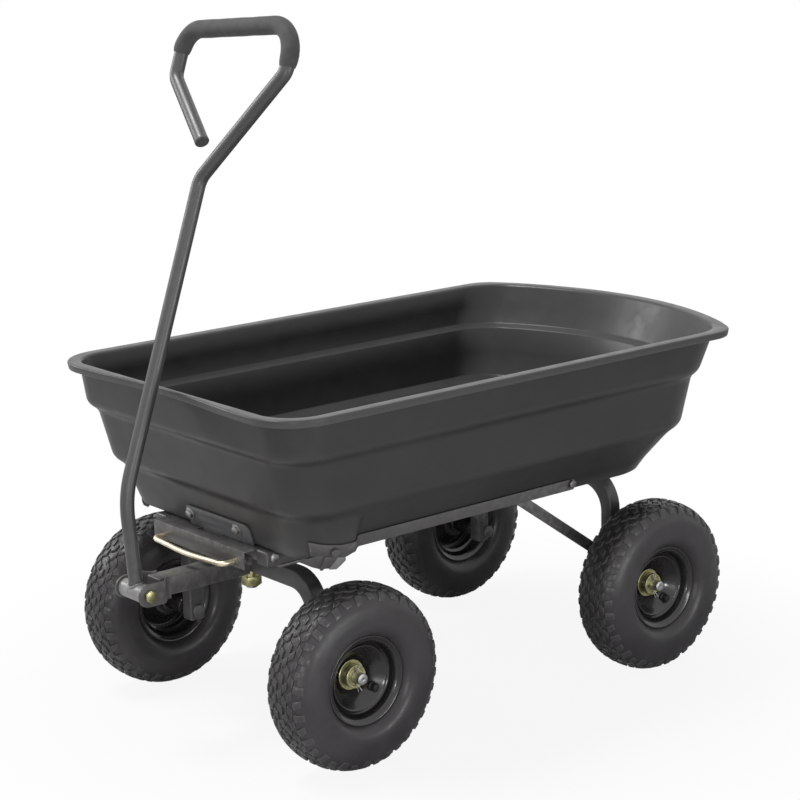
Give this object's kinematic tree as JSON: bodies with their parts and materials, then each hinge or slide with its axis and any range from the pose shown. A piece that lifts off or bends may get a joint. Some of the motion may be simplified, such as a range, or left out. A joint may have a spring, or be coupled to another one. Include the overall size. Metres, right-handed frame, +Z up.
{
  "type": "garden dump cart",
  "caption": "Four-wheeled garden dump cart: a dark plastic tub that tips rearward on a grey steel frame, with a steered front axle, a tall D-loop handle and a wire release bail.",
  "frame": {"origin": "on the ground, on the cart's centre plane, midway between the handle pivot's ears and the tub's rear rim", "axes": "+X to the cart's side on which the pivot bolt's head sits, -Y to the handle end, +Z up"},
  "size_m": [0.5454, 0.9605, 0.9729],
  "materials": {
    "tub_plastic": "satin",
    "frame_paint": "satin",
    "rim_paint": "gloss",
    "tyre_rubber": "matte",
    "grip_foam": "matte",
    "zinc": "satin",
    "yellow_zinc": "satin",
    "spring_steel": "satin",
    "nylon": "matte"
  },
  "bodies": {
    "chassis": {"cross_channel": "frame_paint", "bolster_plate": "frame_paint", "left_chassis_rail": "frame_paint", "right_chassis_rail": "frame_paint", "left_channel_bolt": "zinc", "right_channel_bolt": "zinc", "rear_axle_arch": "frame_paint", "left_strut": "frame_paint", "right_strut": "frame_paint", "hinge_rod": "zinc", "axle_rear_left": "zinc", "hub_washer_rear_left": "yellow_zinc", "cotter_pin_rear_left": "zinc", "axle_rear_right": "zinc", "hub_washer_rear_right": "yellow_zinc", "cotter_pin_rear_right": "zinc"},
    "front_axle": {"front_axle_arch": "frame_paint", "tongue": "frame_paint", "kingpin_bolt": "zinc", "kingpin_nut": "yellow_zinc", "thrust_washer": "nylon", "axle_front_left": "zinc", "hub_washer_front_left": "yellow_zinc", "cotter_pin_front_left": "zinc", "axle_front_right": "zinc", "hub_washer_front_right": "yellow_zinc", "cotter_pin_front_right": "zinc"},
    "handle": {"handle_tube": "frame_paint", "handle_grip": "grip_foam", "pivot_sleeve": "frame_paint", "pivot_bolt": "yellow_zinc", "pivot_nut": "yellow_zinc"},
    "tub": {"tub": "tub_plastic", "left_tub_rail": "frame_paint", "right_tub_rail": "frame_paint", "left_rail_front_bolt": "zinc", "right_rail_front_bolt": "zinc", "left_rail_rear_bolt": "zinc", "right_rail_rear_bolt": "zinc", "keeper_plate": "frame_paint", "left_keeper_bolt": "zinc", "right_keeper_bolt": "zinc", "tub_hinge_plate": "frame_paint"},
    "release": {"release_bail": "yellow_zinc", "latch_bar": "frame_paint", "left_latch_spring": "spring_steel", "right_latch_spring": "spring_steel"},
    "wheel_front_left": {"tyre_front_left": "tyre_rubber", "rim_front_left": "rim_paint", "hub_front_left": "rim_paint"},
    "wheel_front_right": {"tyre_front_right": "tyre_rubber", "rim_front_right": "rim_paint", "hub_front_right": "rim_paint"},
    "wheel_rear_left": {"tyre_rear_left": "tyre_rubber", "rim_rear_left": "rim_paint", "hub_rear_left": "rim_paint"},
    "wheel_rear_right": {"tyre_rear_right": "tyre_rubber", "rim_rear_right": "rim_paint", "hub_rear_right": "rim_paint"}
  },
  "joints": [
    {"name": "steering", "type": "hinge", "parent": "chassis", "child": "front_axle", "pos_m": [0, -0.27795, 0.25], "axis": [0, 0, 1], "range_deg": [-18, 18]},
    {"name": "handle_pivot", "type": "hinge", "parent": "front_axle", "child": "handle", "pos_m": [0, -0.46355, 0.232], "axis": [1, 0, 0], "range_deg": [0, 105]},
    {"name": "tub_tip", "type": "hinge", "parent": "chassis", "child": "tub", "pos_m": [0, 0.30455, 0.274], "axis": [-1, 0, 0], "range_deg": [0, 75]},
    {"name": "bail_pull", "type": "slide", "parent": "chassis", "child": "release", "axis": [0, -1, 0], "range_m": [0, 0.008], "stiffness_N_per_m": 1500, "springref_m": -0.004, "deforming": ["left_latch_spring", "right_latch_spring"]},
    {"name": "front_left_wheel", "type": "hinge", "parent": "front_axle", "child": "wheel_front_left", "pos_m": [-0.2206, -0.27795, 0.127], "axis": [1, 0, 0], "continuous": true},
    {"name": "front_right_wheel", "type": "hinge", "parent": "front_axle", "child": "wheel_front_right", "pos_m": [0.2206, -0.27795, 0.127], "axis": [1, 0, 0], "continuous": true},
    {"name": "rear_left_wheel", "type": "hinge", "parent": "chassis", "child": "wheel_rear_left", "pos_m": [-0.2206, 0.27705, 0.127], "axis": [1, 0, 0], "continuous": true},
    {"name": "rear_right_wheel", "type": "hinge", "parent": "chassis", "child": "wheel_rear_right", "pos_m": [0.2206, 0.27705, 0.127], "axis": [1, 0, 0], "continuous": true}
  ]
}
